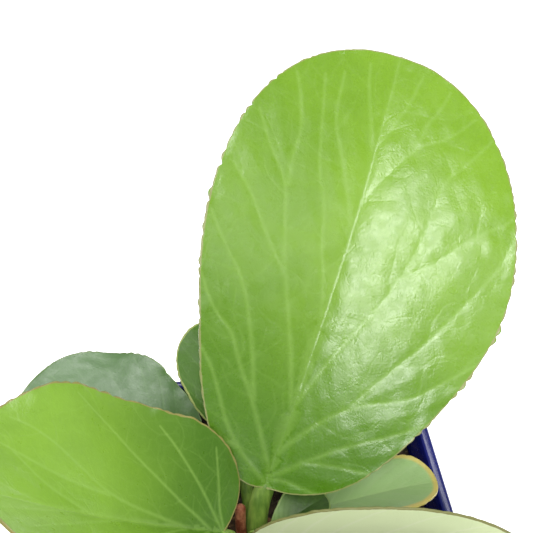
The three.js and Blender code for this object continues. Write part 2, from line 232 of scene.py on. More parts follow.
def tube_points(path: Array, radii: Array, sides: int, seed: int = 0, ribs: float = 0.0) -> Array:
    """Rings of a closed tube along a path.

    Args:
        path: Centres (n, 3) in millimetres.
        radii: Radius at each centre.
        sides: Points round a ring.
        seed: Seed of the unevenness.
        ribs: Depth of the lengthwise ribs as a share of the radius.

    Returns:
        Array (n + 2, sides + 1, 3), its first and last rings drawn in to a point.
    """
    ahead = unit(np.gradient(path, axis=0))
    first = np.cross(ahead[0], [0.0, 0.0, 1.0])
    if np.linalg.norm(first) < 0.2:
        first = np.cross(ahead[0], [0.0, 1.0, 0.0])
    angle = np.linspace(0, 2 * math.pi, sides + 1)
    rings = []
    for place, way, radius in zip(path, ahead, radii):
        first = unit(first - way * (first @ way))
        second = np.cross(way, first)
        broad = np.cos(9 * angle + 0.6 * math.sin(place[2] * 0.3))
        reach = radius * (1 + ribs * broad + ribs * np.cos(14 * angle))
        out = np.cos(angle)[:, None] * first + np.sin(angle)[:, None] * second
        rings.append(place + reach[:, None] * out)
    body = np.array(rings)
    if ribs > 0:
        out = unit(body[:, :-1] - path[:, None])
        body[:, :-1] += 0.12 * ribs * out * ripple(body[:, :-1], seed, 12, 1.5)[..., None]
        body[:, -1] = body[:, 0]
    start = np.repeat(path[None, :1], sides + 1, axis=1)
    end = np.repeat(path[None, -1:], sides + 1, axis=1)
    return np.concatenate([start, body, end])


# Leaf shape


@dataclass(frozen=True)
class LeafShape:
    """Shape of a leaf in millimetres and degrees; pairs are left and right of the midrib."""

    name: str
    foot: tuple[float, float]
    junction: tuple[float, float, float]
    heading: float
    climb: float
    length: float
    half: tuple[float, float]
    full: tuple[float, float]
    lobe: tuple[float, float]
    arch: float
    fold: tuple[float, float]
    fold_tip: tuple[float, float]
    cup: tuple[float, float]
    wave: float
    stalk: tuple[float, float]
    tooth: float
    quilt: float
    cell: float
    lead: float = 0.5
    roll: float = 0.0
    waist: tuple[float, float] = (0.0, 0.0)
    sway: float = 0.0
    twist: float = 0.0
    waves: float = 1.5
    phase: float = 0.0
    source: VeinSource = VeinSource.GROWN
    courses: tuple[tuple[tuple[float, float], ...], ...] = ()
    seed: int = 1


@dataclass
class LeafSurface:
    """Turns flat places on a leaf into places in space."""

    shape: LeafShape
    frames: Array = field(init=False)

    def __post_init__(self) -> None:
        """Walks the bent midrib and keeps place, along, side and up at each step."""
        s = self.shape
        heading, climb = math.radians(s.heading), math.radians(s.climb)
        flat = math.cos(climb)
        along = np.array([math.sin(heading) * flat, math.cos(heading) * flat, math.sin(climb)])
        side = np.array([math.cos(heading), -math.sin(heading), 0.0])
        up = np.cross(side, along)
        roll = math.radians(s.roll)
        side, up = turn(side, along, roll), turn(up, along, roll)
        place = np.array(s.junction, float)
        walked = [np.array([place, along, side, up])]
        arch, sway, twist = (math.radians(v) / FRAME_STEPS for v in (s.arch, s.sway, s.twist))
        for _ in range(FRAME_STEPS):
            before = along
            along, up = turn(along, side, -arch), turn(up, side, -arch)
            along, side = turn(along, up, -sway), turn(side, up, -sway)
            side, up = turn(side, along, twist), turn(up, along, twist)
            place = place + (before + along) / 2 * s.length / FRAME_STEPS
            walked.append(np.array([place, along, side, up]))
        self.frames = np.array(walked)

    def frame_at(self, share: Array) -> Array:
        """Place, along, side and up at shares of the length, as an array (..., 4, 3)."""
        at = np.clip(share, 0, 1) * FRAME_STEPS
        low = np.minimum(at.astype(int), FRAME_STEPS - 1)
        weight = (at - low)[..., None, None]
        return self.frames[low] * (1 - weight) + self.frames[low + 1] * weight

    def outline(self, phi: Array, hand: int) -> Array:
        """Flat margin points for one hand, phi 0 at the tip and pi at the notch."""
        s = self.shape
        k = 0 if hand < 0 else 1
        lower = np.clip((phi / math.pi - 0.45) / 0.55, 0, 1)
        base = np.clip((phi / math.pi - LOBE_START) / (1 - LOBE_START), 0, 1)
        x = hand * s.half[k] * np.sin(phi) * (1 - s.waist[k] * np.sin(math.pi * lower) ** 2)
        y = s.length * ((1 + np.cos(phi)) / 2) ** s.full[k] - s.lobe[k] * np.sin(math.pi * base)
        return np.stack([x, y], -1)

    def bend(self, flat: Array, lift: Array) -> Array:
        """Places in space of flat points (..., 2), raised by a lift off the sheet."""
        s = self.shape
        x, y = flat[..., 0], flat[..., 1]
        share = np.clip(y / s.length, 0, 1)
        at = self.frame_at(share)
        k = (x > 0).astype(int)
        hand = np.where(x > 0, 1.0, -1.0)
        fold = np.radians(np.array(s.fold)[k] * (1 - share) + np.array(s.fold_tip)[k] * share)
        half = np.array(s.half)[k]
        curl = np.radians(np.array(s.cup)[k]) / half
        a = np.abs(x)
        out = (np.sin(fold + curl * a) - np.sin(fold)) / curl
        up = (np.cos(fold) - np.cos(fold + curl * a)) / curl
        swing = np.sin(2 * math.pi * s.waves * share + s.phase + hand)
        up = up + s.wave * (a / half) ** 2 * swing + lift
        place = at[..., 0, :] + at[..., 1, :] * np.minimum(y, 0)[..., None]
        return place + at[..., 2, :] * (hand * out)[..., None] + at[..., 3, :] * up[..., None]


@dataclass
class Vein:
    """A vein as a flat line with its half width at start and end."""

    points: Array
    width: tuple[float, float]


@dataclass
class VeinNet:
    """The midrib, side veins and finer branches of a leaf, in flat millimetres."""

    surface: LeafSurface
    main: list[Vein] = field(default_factory=list)
    fine: list[Vein] = field(default_factory=list)

    def __post_init__(self) -> None:
        """Lays the midrib, the side veins and their branches."""
        s = self.surface.shape
        rng = np.random.default_rng(SEED + s.seed)
        size = max(0.45, min(1.0, s.length / 90))
        rib = np.stack([np.zeros(60), np.linspace(-1, s.length * 0.985, 60)], -1)
        rib[:, 0] += 0.35 * size * ripple(rib, s.seed, 4, s.length * 0.35) * np.linspace(0, 1, 60)
        self.main.append(Vein(rib, (1.6 * size, 0.34 * size)))
        courses = s.courses if s.source is VeinSource.TRACED else self.grown(rng)
        for course in courses:
            line = self.smooth(np.array(course, float), rng, 0.22 * size)
            self.main.append(Vein(line, (0.5 * size, 0.26 * size)))
        for vein in list(self.main):
            self.branch(vein, rng, size)

    def grown(self, rng: np.random.Generator) -> list[list[tuple[float, float]]]:
        """Side vein courses for a leaf whose own aren't traced."""
        s = self.surface.shape
        courses = []
        for hand in (-1, 1):
            for m in (0.0, 0.05, 0.13, 0.25, 0.38, 0.52, 0.66, 0.79):
                start = min(0.9, m + rng.uniform(0, 0.03))
                courses.append(self.course_from(start, hand, 1 - 0.85 * (1 - start) ** 3.2))
        return courses

    def course_from(self, start: float, hand: int, end: float) -> list[tuple[float, float]]:
        """A side vein from a share of the midrib to a share of the margin."""
        length = self.surface.shape.length
        phi = np.linspace(0, math.pi, 240)
        edge = self.surface.outline(phi, hand)
        miss = np.abs(edge[:, 1] - end * length) + (phi > 2.9) * 99
        goal = edge[int(np.argmin(miss))] * [0.96, 1.0]
        root = np.array([0.0, start * length])
        rise = goal[1] - root[1]
        knee = np.array([goal[0] * 0.5, root[1] + rise * 0.42])
        far = np.array([goal[0] * 0.86, root[1] + rise * 0.74])
        t = np.linspace(0, 1, 8)[:, None]
        return [tuple(p) for p in curve(t, root, knee, far, goal)]

    @staticmethod
    def smooth(points: Array, rng: np.random.Generator, zigzag: float) -> Array:
        """Rounds a coarse line and gives it a slight zigzag."""
        inner = points[1:-1] + rng.normal(0, zigzag, points[1:-1].shape)
        line = np.concatenate([points[:1], inner, points[-1:]])
        for _ in range(3):
            near = line[:-1] * 0.75 + line[1:] * 0.25
            far = line[:-1] * 0.25 + line[1:] * 0.75
            both = np.stack([near, far], 1).reshape(-1, 2)
            line = np.concatenate([line[:1], both, line[-1:]])
        return line

    def branch(self, vein: Vein, rng: np.random.Generator, size: float) -> None:
        """Adds finer veins that leave a main vein on both sides."""
        step = np.linalg.norm(np.diff(vein.points, axis=0), axis=1)
        run = np.concatenate([[0], np.cumsum(step)])
        at = rng.uniform(2, 4) * size
        hand = 1
        while at < run[-1] - 1:
            i = min(int(np.searchsorted(run, at)), len(vein.points) - 1)
            way = unit(vein.points[i] - vein.points[max(i - 2, 0)])
            if not np.any(way):
                way = np.array([0.0, 1.0])
            angle = hand * rng.uniform(0.6, 1.15)
            line = [vein.points[i]]
            pace = rng.uniform(1.3, 2.6) * size
            for _ in range(int(rng.integers(4, 8))):
                cos, sin = math.cos(angle), math.sin(angle)
                aim = np.array([way[0] * cos - way[1] * sin, way[0] * sin + way[1] * cos])
                line.append(line[-1] + aim * pace)
                angle += -hand * rng.uniform(-0.12, 0.3) + rng.normal(0, 0.22)
            self.fine.append(Vein(np.array(line), (0.3 * size, 0.16 * size)))
            at += rng.uniform(4.5, 9.0) * size
            hand = -hand

    @staticmethod
    def measure(flat: Array, veins: list[Vein]) -> tuple[Array, Array, Array]:
        """Distance of flat points to the nearest vein.

        Args:
            flat: Array (rows, columns, 2) in millimetres.
            veins: The veins to measure to.

        Returns:
            Signed and plain distance over the vein's half width there, and the distance itself.
        """
        starts = np.concatenate([v.points[:-1] for v in veins])
        ends = np.concatenate([v.points[1:] for v in veins])
        widths = np.concatenate([np.linspace(*v.width, len(v.points) - 1) for v in veins])
        places = flat.reshape(-1, 2)
        best = np.full(len(places), FAR_AWAY)
        signed = np.zeros(len(places))
        plain = np.full(len(places), FAR_AWAY)
        for start, end, width in zip(starts, ends, widths):
            way = end - start
            long = float(way @ way)
            if long < 1e-9:
                continue
            near = np.nonzero(np.abs(places - (start + end) / 2).max(axis=1) < VEIN_REACH)[0]
            away = places[near] - start
            t = np.clip(away @ way / long, 0, 1)
            gap = away - t[:, None] * way
            distance = np.hypot(gap[:, 0], gap[:, 1])
            closer = distance < best[near]
            chosen = near[closer]
            best[chosen] = distance[closer]
            turned = way[0] * away[closer, 1] - way[1] * away[closer, 0]
            plain[chosen] = distance[closer] / width
            signed[chosen] = np.where(turned < 0, -1, 1) * distance[closer] / width
        shape = flat.shape[:-1]
        far = np.minimum(plain, 60).reshape(shape)
        return np.clip(signed, -60, 60).reshape(shape), far, np.minimum(best, 30).reshape(shape)


# Node trees


@dataclass
class Graph:
    """Adds nodes to one node tree: sockets are linked and plain values are set."""

    tree: NodeTree

    def node(self, kind: str, inputs: dict[Any, Any] | None = None, **settings: Any) -> Node:
        """Adds a node.

        Args:
            kind: Name of the node type, without ShaderNode in front.
            inputs: Values or sockets by input name or number.
            **settings: Properties of the node.

        Returns:
            The new node.
        """
        made = self.tree.nodes.new(kind if kind.startswith("NodeGroup") else f"ShaderNode{kind}")
        for key, value in settings.items():
            setattr(made, key, value)
        for key, value in (inputs or {}).items():
            if isinstance(value, NodeSocket):
                self.tree.links.new(value, made.inputs[key])
            else:
                made.inputs[key].default_value = value
        return made

    def effect(self, tree: NodeTree, **inputs: Any) -> Any:
        """The outputs of a shared effect with the given inputs."""
        return self.node("Group", inputs, node_tree=tree).outputs

    def surface(self, shader: Node) -> None:
        """Shows a shader as the material's surface."""
        self.node("OutputMaterial", {"Surface": shader.outputs[0]})

    def place(self, kind: str) -> NodeSocket:
        """Object coordinates or the UV map."""
        return self.node("TexCoord").outputs[kind]

    def math(self, operation: str, *values: Any) -> NodeSocket:
        """A math node's result."""
        return self.node("Math", dict(enumerate(values)), operation=operation).outputs[0]

    def scaled(self, value: Any, factor: Any) -> NodeSocket:
        """A value times a factor."""
        return self.math("MULTIPLY", value, factor)

    def total(self, *parts: tuple[Any, float]) -> Any:
        """The sum of values times their weights."""
        made: Any = 0.0
        for part, weight in parts:
            made = self.math("ADD", made, self.scaled(part, weight))
        return made

    def cells(self, vector: Any, scale: Any, feature: str = "F1") -> NodeSocket:
        """The distance that a Voronoi texture gives."""
        made = self.node("TexVoronoi", {"Vector": vector, "Scale": scale}, feature=feature)
        return made.outputs["Distance"]

    def mix(self, share: Any, first: Any, second: Any) -> NodeSocket:
        """A mix of two colours."""
        return self.node("Mix", {0: share, 6: first, 7: second}, data_type="RGBA").outputs[2]

    def span(self, value: Any, low: float, high: float, *ends: float) -> NodeSocket:
        """A value carried smoothly from one range to another, or to 0 to 1."""
        first, last = ends or (0.0, 1.0)
        inputs = dict(enumerate((value, low, high, first, last)))
        return self.node("MapRange", inputs, interpolation_type="SMOOTHSTEP").outputs[0]

    def noise(self, vector: Any, scale: Any, detail: float = 4.0, rough: float = 0.55,
              warp: float = 0.0) -> NodeSocket:
        """A noise value of 0 to 1."""
        inputs = {"Vector": vector, "Scale": scale, "Detail": detail, "Roughness": rough}
        return self.node("TexNoise", {**inputs, "Distortion": warp}).outputs["Fac"]

    def value(self, name: str) -> NodeSocket:
        """A mesh attribute's value."""
        return self.node("Attribute", attribute_name=name).outputs["Fac"]

    def bump(self, height: Any, distance: float, strength: float) -> NodeSocket:
        """A bumped normal."""
        inputs = {"Height": height, "Distance": distance, "Strength": strength}
        return self.node("Bump", inputs).outputs[0]


class SharedEffects:
    """Node groups used by several materials, each built once."""

    _built: dict[str, NodeTree] = {}

    @classmethod
    def group(cls, name: str, inputs: dict[str, Any], outputs: tuple[str, ...],
              fill: Callable[[Graph, Any], dict[str, Any]]) -> NodeTree:
        """Builds a group on first use.

        Args:
            name: Name of the group.
            inputs: A number or colour as default by input name, besides Vector.
            outputs: Output names, Color being a colour and the others numbers.
            fill: Adds the nodes and returns the output values by name.

        Returns:
            The node group.
        """
        if name in cls._built:
            return cls._built[name]
        tree = bpy.data.node_groups.new(name, "ShaderNodeTree")
        tree.interface.new_socket("Vector", in_out="INPUT", socket_type="NodeSocketVector")
        for label, default in inputs.items():
            kind = "NodeSocketColor" if isinstance(default, tuple) else "NodeSocketFloat"
            socket = tree.interface.new_socket(label, in_out="INPUT", socket_type=kind)
            socket.default_value = default
        for label in outputs:
            kind = "NodeSocketColor" if label == "Color" else "NodeSocketFloat"
            tree.interface.new_socket(label, in_out="OUTPUT", socket_type=kind)
        graph = Graph(tree)
        graph.node("NodeGroupOutput", fill(graph, graph.node("NodeGroupInput").outputs))
        cls._built[name] = tree
        return tree

    @classmethod
    def vein_lines(cls) -> NodeTree:
        """Masks of the main veins, the finer veins and the net between them."""

        def line(graph: Graph, name: str, width: float) -> NodeSocket:
            far = graph.value(f"{name}_far")
            near = graph.math("ABSOLUTE", graph.value(f"{name}_signed"))
            close = graph.math("LESS_THAN", far, 1.2)
            gap = graph.node("Mix", {0: close, 2: far, 3: near}).outputs[0]
            return graph.span(gap, width, 0.0)

        def fill(graph: Graph, given: Any) -> dict[str, Any]:
            place = given["Vector"]
            wobble = graph.node("TexNoise", {"Vector": place, "Scale": 22.0, "Detail": 3.0})
            inputs = {0: 0.035, 4: place, 5: wobble.outputs["Color"]}
            warped = graph.node("Mix", inputs, data_type="VECTOR").outputs[1]
            edge = "DISTANCE_TO_EDGE"
            return {
                "Main": line(graph, "main", 2.4),
                "Fine": line(graph, "fine", 2.1),
                "Net": graph.span(graph.cells(warped, 30.0, edge), 0.09, 0.0),
                "Web": graph.span(graph.cells(warped, 85.0, edge), 0.12, 0.0),
            }

        return cls.group("vein_lines", {}, ("Main", "Fine", "Net", "Web"), fill)

    @classmethod
    def mottled(cls) -> NodeTree:
        """Two colours mixed in soft patches and fine specks."""

        def fill(graph: Graph, given: Any) -> dict[str, Any]:
            broad = graph.noise(given["Vector"], given["Scale"], 3.0, 0.5, 0.6)
            specks = graph.noise(given["Vector"], graph.scaled(given["Scale"], 14.0), 3.0)
            share = graph.span(graph.total((broad, 0.75), (specks, 0.25)), 0.32, 0.68)
            return {"Color": graph.mix(share, given["First"], given["Second"])}

        grey = colour(0x808080)
        return cls.group("mottled", {"Scale": 4.0, "First": grey, "Second": grey}, ("Color",), fill)

    @classmethod
    def leather_grain(cls) -> NodeTree:
        """Puckers, blisters and scratches of a leathery leaf as a height and a mask."""

        def fill(graph: Graph, given: Any) -> dict[str, Any]:
            pucker = graph.noise(given["Vector"], 34.0, 4.0, 0.6)
            pores = graph.cells(given["Vector"], 210.0)
            blisters = graph.span(graph.cells(given["Vector"], 60.0), 0.2, 0.08)
            scratches = graph.noise(given["Vector"], 420.0, 3.0)
            height = graph.total((pucker, 0.5), (pores, 0.12), (blisters, 0.1), (scratches, 0.16))
            return {"Height": height, "Mask": graph.span(pucker, 0.3, 0.7)}

        return cls.group("leather_grain", {}, ("Height", "Mask"), fill)

    @classmethod
    def crumbs(cls) -> NodeTree:
        """Grit, fibres and pits of soil or bark as a height and a mask."""

        def fill(graph: Graph, given: Any) -> dict[str, Any]:
            lumps = graph.noise(given["Vector"], graph.scaled(given["Scale"], 160.0), 8.0, 0.7)
            grit = graph.cells(given["Vector"], graph.scaled(given["Scale"], 420.0))
            height = graph.total((lumps, 1.0), (grit, 0.5))
            return {"Height": height, "Mask": graph.span(lumps, 0.38, 0.64)}

        return cls.group("crumbs", {"Scale": 1.0}, ("Height", "Mask"), fill)


def new_material(name: str) -> tuple[Material, Graph]:
    """A material with an empty tree, and its graph."""
    made = bpy.data.materials.new(name)
    made.use_nodes = True
    made.node_tree.nodes.clear()
    return made, Graph(made.node_tree)


@dataclass(frozen=True)
class LeafFinish:
    """Colours and sheen of one leaf."""

    body: int
    deep: int
    vein: int
    margin: int
    under: int
    under_vein: int
    stalk: int
    stalk_deep: int
    margin_width: float = 0.26
    roughness: float = 0.42
    # How far the blade's colour is mixed to the deep colour towards its base: painted shade of the
    # crown
    base_painted_shading: float = 0.35
    # How far the left half is mixed to the deep colour: painted shade of the half turned away from
    # the light
    left_painted_shade: float = 0.0
    net: float = 1.0
    gloss: float = 0.85
    vein_share: float = 0.45

    def blade(self, name: str, side: Side) -> Material:
        """The finish of one side of the blade.

        Args:
            name: Name of the leaf.
            side: Upper or under side.

        Returns:
            The material.
        """
        upper = side is Side.UPPER
        made, graph = new_material(f"{name}_{side.name.lower()}")
        uv = graph.place("UV")
        lines = graph.effect(SharedEffects.vein_lines(), Vector=uv)
        grain = graph.effect(SharedEffects.leather_grain(), Vector=uv)
        first, second = (self.body, self.deep) if upper else (self.under, self.under)
        faded = tuple(0.8 * a + 0.2 * b for a, b in zip(colour(first), colour(second)))
        patches = {"Vector": uv, "Scale": 7.0, "First": colour(first), "Second": faded}
        tone = graph.effect(SharedEffects.mottled(), **patches)["Color"]
        if upper:
            # Painted shade: the upper side darkens towards its base, where the crown shades it
            low = graph.span(graph.value("share"), 0.6, 0.04, 0.0, self.base_painted_shading)
            tone = graph.mix(low, tone, colour(self.deep))
            # Painted shade: the left half darkens, as it is turned away from the light
            left = graph.span(graph.value("across"), 0.05, -0.5, 0.0, self.left_painted_shade)
            tone = graph.mix(left, tone, colour(self.deep))
        pale = colour(self.vein if upper else self.under_vein)
        shares = {"Web": 0.03 * self.net, "Net": 0.06 * self.net, "Fine": 0.12 * self.net}
        for label, share in {**shares, "Main": self.vein_share}.items():
            tone = graph.mix(graph.scaled(lines[label], share), tone, pale)
        uneven = graph.scaled(graph.noise(uv, 60.0, 2.0), 0.35)
        edge = graph.math("SUBTRACT", graph.value("edge"), uneven)
        border = graph.span(edge, self.margin_width * 1.25, self.margin_width * 0.4)
        tone = graph.mix(border, tone, colour(self.margin))
        sign = (-0.14 if upper else 0.6) * self.net
        veined = graph.total((lines["Net"], 0.5), (lines["Fine"], 1.0), (lines["Web"], 0.2))
        height = graph.total((veined, sign), (grain["Height"], 1.0))
        normal = graph.bump(height, 0.00013 if upper else 0.0002, 0.85)
        dull = self.roughness + (0 if upper else 0.12)
        inputs = {
            "Base Color": tone,
            "Roughness": graph.math("ADD", graph.scaled(grain["Mask"], 0.1), dull),
            "Normal": normal,
            "Specular IOR Level": self.gloss if upper else 0.3,
        }
        shader = graph.node("BsdfPrincipled", inputs)
        glow = graph.node("BsdfTranslucent", {"Color": tone, "Normal": normal})
        graph.surface(graph.node("MixShader", {0: 0.16, 1: shader.outputs[0], 2: glow.outputs[0]}))
        return made

    def stalk_skin(self, name: str) -> Material:
        """The finish of the stalk and the rib under the blade."""
        made, graph = new_material(f"{name}_stalk")
        place = graph.place("Object")
        streak = graph.node("Mapping", {"Vector": place, "Scale": (900.0, 900.0, 90.0)}).outputs[0]
        lines = graph.noise(streak, 1.0, 4.0)
        mixed = graph.total((lines, 0.5), (graph.noise(place, 120.0, 3.0), 0.5))
        share = graph.span(mixed, 0.36, 0.64)
        inputs = {
            "Base Color": graph.mix(share, colour(self.stalk_deep), colour(self.stalk)),
            "Roughness": graph.span(lines, 0.2, 0.8, 0.38, 0.55),
            "Normal": graph.bump(lines, 0.00015, 0.7),
        }
        graph.surface(graph.node("BsdfPrincipled", inputs))
        return made


@dataclass
class Leaf:
    """One leaf with its blade, under-rib and stalk as one piece."""

    shape: LeafShape
    finish: LeafFinish
    slot: str
    sheath: bool = False

    def build(self) -> Object:
        """Models the leaf, dresses it and puts it in its CAD node's place.

        Returns:
            The finished piece.
        """
        surface = LeafSurface(self.shape)
        parts = [self.blade(surface), self.stalk(surface)]
        if self.sheath:
            parts.append(self.sheath_tip())
        piece = join(parts, f"{self.shape.name}_fine")
        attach(piece, "root")
        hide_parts(self.shape.name)
        return piece

    def teeth(self, phi: Array, run: Array, hand: int) -> Array:
        """How far the teeth push out the margin, as a share of the half width.

        Args:
            phi: Places on the margin as an angle, 0 at the tip and pi at the notch.
            run: Millimetres along the margin to each place.
            hand: -1 for the left half and 1 for the right half.

        Returns:
            The push at each place.
        """
        s = self.shape
        pitch = 2.7 if s.length > 50 else 1.9
        along = run[:, None] * np.ones(2)
        wander = 1.1 * ripple(along, s.seed + hand, 5, 12)
        scallop = 1.5 * np.abs(np.sin(math.pi * run / pitch + wander)) ** 0.8 - 0.9
        scallop += 0.5 * ripple(along, s.seed + 15 + hand, 6, 6.0)
        uneven = np.clip(0.6 + 0.5 * ripple(along, s.seed + 7 + hand, 5, 6), 0.1, 1.2)
        ends = np.clip(np.minimum(phi, math.pi - phi) / 0.12, 0, 1)
        return s.tooth / s.half[0 if hand < 0 else 1] * scallop * uneven * ends

    def lay_flat(self, surface: LeafSurface) -> Array:
        """Flat places (rows, columns, 2) of the blade, denser towards its toothed edge."""
        s = self.shape
        dense = np.linspace(math.pi, 0, 4000)
        arcs = []
        for hand in (-1, 1):
            step = np.linalg.norm(np.diff(surface.outline(dense, hand), axis=0), axis=1)
            arcs.append(np.concatenate([[0], np.cumsum(step)]))
        run = (arcs[0] + arcs[1]) / 2
        rows = int(run[-1] / s.cell) + 1
        phi = np.interp(np.linspace(0, run[-1], rows), run, dense)
        out = 1 - (1 - np.linspace(0, 1, int(max(s.half) / (s.cell * 1.15)) + 1)) ** 1.12
        across = np.concatenate([-out[:0:-1], out])
        flat = np.zeros((rows, len(across), 2))
        rib = s.length * (1 + np.cos(phi)) / 2
        for hand, arc in zip((-1, 1), arcs):
            chosen = across < 0 if hand < 0 else across >= 0
            edge = surface.outline(phi, hand)
            push = self.teeth(phi, np.interp(phi[::-1], dense[::-1], arc[::-1])[::-1], hand)
            a = np.abs(across[chosen])[None, :]
            grow = 1 + push[:, None] * a**9
            x = edge[:, 0][:, None] * a * grow
            y = rib[:, None] + (edge[:, 1] - rib)[:, None] * a**1.3 * grow
            flat[:, chosen] = np.stack([x, y], -1)
        return flat

    def blade(self, surface: LeafSurface) -> Object:
        """The blade as a closed thin sheet with scalloped edge and sunken veins."""
        s = self.shape
        net = VeinNet(surface)
        flat = self.lay_flat(surface)
        main_signed, main_far, main_mm = net.measure(flat, net.main)
        fine_signed, fine_far, fine_mm = net.measure(flat, net.fine)
        phi = np.linspace(0, math.pi, 260)
        margin = [Vein(surface.outline(phi, hand), (1.0, 1.0)) for hand in (-1, 1)]
        edge_mm = net.measure(flat, margin)[2]
        inner = np.clip(edge_mm / 3.0, 0, 1)
        swell = 0.32 * s.quilt * (1 - np.exp(-((main_mm / 3.0) ** 2)) - 0.5)
        swell += 0.05 * s.quilt * (1 - np.exp(-((fine_mm / 1.4) ** 2)))
        swell += 0.07 * s.quilt * ripple(flat, s.seed + 31, 14, 3.0)
        width = np.minimum(main_mm / np.maximum(main_far, 0.01), 1.6)
        sunk = 0.14 * width * np.exp(-(main_far**2))
        lift = (swell - sunk) * inner + 0.12 * (1 - inner) * ripple(flat, s.seed + 3, 8, 3.0)
        sheet = GridSheet.add(f"{s.name}_blade", surface.bend(flat, lift))
        notes = {
            "main_signed": main_signed, "main_far": main_far,
            "fine_signed": fine_signed, "fine_far": fine_far,
            "edge": edge_mm, "share": flat[..., 1] / s.length, "across": flat[..., 0] / max(s.half),
        }
        for name, values in notes.items():
            sheet.note(name, values)
        sheet.lay_uv(flat + [0.0, 13.7 * s.seed])
        obj = sheet.close(outward=False)
        group = self.weigh(obj)
        for side in Side:
            obj.data.materials.append(self.finish.blade(s.name, side))
        thicken(
            obj, BLADE_THICK, vertex_group=group, thickness_vertex_group=MARGIN_SHARE,
            use_even_offset=False, material_offset=1,
        )
        obj.vertex_groups.clear()
        obj.data.materials.append(self.finish.stalk_skin(s.name))
        return obj

    @staticmethod
    def weigh(obj: Object) -> str:
        """Adds a group that weighs each vertex by its distance from the margin and names it."""
        group = obj.vertex_groups.new(name="thick")
        edge = np.zeros(len(obj.data.vertices), np.float32)
        obj.data.attributes["edge"].data.foreach_get("value", edge)
        levels = np.rint(np.clip(edge / MARGIN_BAND, 0, 1) * WEIGHT_STEPS).astype(int)
        for level in range(WEIGHT_STEPS + 1):
            chosen = np.nonzero(levels == level)[0].tolist()
            if chosen:
                group.add(chosen, level / WEIGHT_STEPS, "REPLACE")
        return group.name

    def stalk(self, surface: LeafSurface) -> Object:
        """The leaf stalk and the tapering rib below the blade."""
        s = self.shape
        start = np.array([*s.foot, STALK_FOOT])
        end = np.array(s.junction, float) - 0.8 * s.stalk[1] * surface.frames[0, 3]
        chord = float(np.linalg.norm(end - start))
        along = surface.frames[0, 1]
        t = np.linspace(0, 1, 34)[:, None]
        lower, upper = start + [0, 0, 0.6 * chord], end - along * s.lead * chord
        path = curve(t, start, lower, upper, end)
        radii = s.stalk[0] + (s.stalk[1] - s.stalk[0]) * t[:, 0] ** 0.7
        shares = np.linspace(0.02, 0.8, 60)
        under = s.stalk[1] * 0.86 + (0.3 - s.stalk[1] * 0.86) * shares / 0.8
        at = surface.frame_at(shares)
        sink = under + 0.12 + 0.5 * s.quilt
        path = np.concatenate([path, at[:, 0] - at[:, 3] * sink[:, None]])
        radii = np.concatenate([radii, under])
        obj = GridSheet.add(f"{s.name}_rib", tube_points(path, radii, 28, s.seed, 0.02)).close()
        obj.data.materials.append(bpy.data.materials[f"{s.name}_stalk"])
        return obj

    def sheath_tip(self) -> Object:
        """The small pale tongue of the sheath that clasps the stalk."""
        s = self.shape
        t = np.linspace(0, 1, 30)[:, None]
        a = np.linspace(-1, 1, 22)[None, :]
        angle = -math.pi / 2 - 0.25 + a * np.sqrt(np.clip(1 - t**2.2, 0, 1)) * 0.62
        reach = s.stalk[0] + 0.25 + 0.75 * t + 0.25 * a**2
        places = around(reach, angle, 93 + 8 * t) + [*s.foot, 0]
        obj = GridSheet.add(f"{s.name}_sheath", places).close(outward=False)
        thicken(obj, SHEATH_THICK)
        obj.data.materials.append(bpy.data.materials[f"{s.name}_stalk"])
        return obj


# Pot, soil, rhizome and old stalk


def pot_inside(z: float) -> float:
    """Half width of the pot's inside at a height."""
    return 29.7 + (42.4 - 29.7) * (z - 2) / 98


def pot_corner(z: Any) -> Any:
    """Corner radius of the pot at a height."""
    return 7 + 2 * z / POT_HEIGHT


def square_ring(half: Any, corner: Any, arc: int = 14, side: int = 8) -> Array:
    """Rounded squares seen from above.

    Args:
        half: Half width of each square.
        corner: Corner radius of each square.
        arc: Steps in a corner.
        side: Steps along a side.

    Returns:
        Array (squares, points, 2), its last point the same as its first.
    """
    rings = []
    for h, r in zip(np.atleast_1d(half), np.atleast_1d(corner)):
        bows = []
        for turned in math.pi / 2 * np.arange(5):
            angle = turned + np.linspace(0, math.pi / 2, arc + 1)
            middle = turned + math.pi / 4
            centre = (h - r) * math.sqrt(2) * np.array([math.cos(middle), math.sin(middle)])
            bows.append(centre + r * np.stack([np.cos(angle), np.sin(angle)], -1))
        points = []
        for bow, after in zip(bows, bows[1:]):
            way = (after[0] - bow[-1]) * np.linspace(0, 1, side + 1)[1:-1, None]
            points += [bow, bow[-1] + way]
        rings.append(np.concatenate([*points, bows[0][:1]]))
    return np.array(rings)


@dataclass(frozen=True)
class PotFinish:
    """Glossy moulded plastic."""

    body: int = 0x0A1572
    deep: int = 0x071060
    roughness: float = 0.14

    def material(self) -> Material:
        """The pot's material, slightly uneven, with faint pale scuffs all over."""
        made, graph = new_material("pot_plastic")
        place = graph.place("Object")
        patches = {"Scale": 30.0, "First": colour(self.body), "Second": colour(self.deep)}
        tone = graph.effect(SharedEffects.mottled(), Vector=place, **patches)["Color"]
        scuffs = graph.span(graph.noise(place, 900.0, 6.0, 0.7), 0.56, 0.72)
        fine = graph.noise(place, 260.0, 5.0)
        worn = graph.span(fine, 0.3, 0.7, self.roughness, self.roughness + 0.1)
        inputs = {
            "Base Color": graph.mix(graph.scaled(scuffs, 0.06), tone, colour(0x8A93B8)),
            "Roughness": graph.math("ADD", graph.scaled(scuffs, 0.12), worn),
            "Normal": graph.bump(fine, 0.0001, 0.25),
            "Specular IOR Level": 0.4, "Coat Weight": 0.15, "Coat Roughness": 0.06,
        }
        graph.surface(graph.node("BsdfPrincipled", inputs))
        return made


